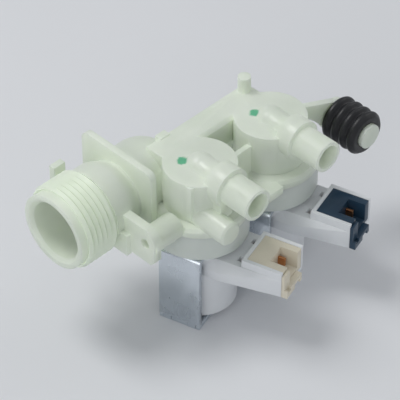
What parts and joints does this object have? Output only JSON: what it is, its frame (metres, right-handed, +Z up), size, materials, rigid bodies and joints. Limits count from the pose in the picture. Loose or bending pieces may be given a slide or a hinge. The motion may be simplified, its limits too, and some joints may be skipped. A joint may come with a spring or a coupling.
{
  "type": "washing machine inlet valve",
  "caption": "Double solenoid water inlet valve with threaded inlet, square mounting plate, two chambers with outlet stubs, two framed coils with plug housings and a rubber buffer.",
  "frame": {"origin": "middle of the inlet mouth, on the thread's axis", "axes": "+X along the inlet into the body, -Y towards the outlet mouths, +Z up, coils hang towards -Z"},
  "size_m": [0.1058, 0.0709, 0.0602],
  "materials": {
    "body_plastic": "milky translucent moulding",
    "cover_plastic": "milky translucent moulding",
    "buffer_rubber": "satin",
    "strainer_plastic": "satin",
    "washer_rubber": "matte",
    "diaphragm_rubber": "matte",
    "hub_plastic": "satin",
    "plunger_steel": "turned",
    "seal_rubber": "matte",
    "spring_steel": "drawn wire",
    "zinc_steel": "zinc plated, slightly worn",
    "bobbin_plastic": "satin",
    "copper_wire": "enamelled copper",
    "coil_plastic": "semi-gloss white",
    "insert_cream": "semi-gloss",
    "insert_navy": "semi-gloss",
    "tinned_copper": "bare"
  },
  "bodies": {
    "valve": {"valve_body": "body_plastic", "rubber_buffer": "buffer_rubber", "inlet_strainer": "strainer_plastic", "flow_holder": "strainer_plastic", "flow_washer": "washer_rubber", "cover_1": "cover_plastic", "diaphragm_1": "diaphragm_rubber", "return_spring_1": "spring_steel", "yoke_1": "zinc_steel", "yoke_plate_1": "zinc_steel", "pole_sleeve_1": "plunger_steel", "bobbin_1": "bobbin_plastic", "winding_1": "copper_wire", "coil_body_1": "coil_plastic", "connector_insert_1": "insert_cream", "terminal_a_1": "tinned_copper", "terminal_b_1": "tinned_copper", "cover_2": "cover_plastic", "diaphragm_2": "diaphragm_rubber", "return_spring_2": "spring_steel", "yoke_2": "zinc_steel", "yoke_plate_2": "zinc_steel", "pole_sleeve_2": "plunger_steel", "bobbin_2": "bobbin_plastic", "winding_2": "copper_wire", "coil_body_2": "coil_plastic", "connector_insert_2": "insert_navy", "terminal_a_2": "tinned_copper", "terminal_b_2": "tinned_copper"},
    "plunger_1": {"plunger_1": "plunger_steel", "plunger_seal_1": "seal_rubber"},
    "hub_1": {"diaphragm_insert_1": "hub_plastic"},
    "plunger_2": {"plunger_2": "plunger_steel", "plunger_seal_2": "seal_rubber"},
    "hub_2": {"diaphragm_insert_2": "hub_plastic"}
  },
  "joints": [
    {"name": "plunger_slide_1", "type": "slide", "parent": "valve", "child": "plunger_1", "axis": [0, 0, -1], "range_m": [0, 0.0026], "stiffness_N_per_m": 120, "springref_m": -0.004, "deforming": ["return_spring_1"]},
    {"name": "diaphragm_slide_1", "type": "slide", "parent": "valve", "child": "hub_1", "axis": [0, 0, -1], "range_m": [0, 0.0016], "deforming": ["diaphragm_1"]},
    {"name": "plunger_slide_2", "type": "slide", "parent": "valve", "child": "plunger_2", "axis": [0, 0, -1], "range_m": [0, 0.0026], "stiffness_N_per_m": 120, "springref_m": -0.004, "deforming": ["return_spring_2"]},
    {"name": "diaphragm_slide_2", "type": "slide", "parent": "valve", "child": "hub_2", "axis": [0, 0, -1], "range_m": [0, 0.0016], "deforming": ["diaphragm_2"]}
  ],
  "couplings": [
    {"joint": "diaphragm_slide_1", "follows": "plunger_slide_1", "ratio": 0.6},
    {"joint": "diaphragm_slide_2", "follows": "plunger_slide_2", "ratio": 0.6}
  ]
}
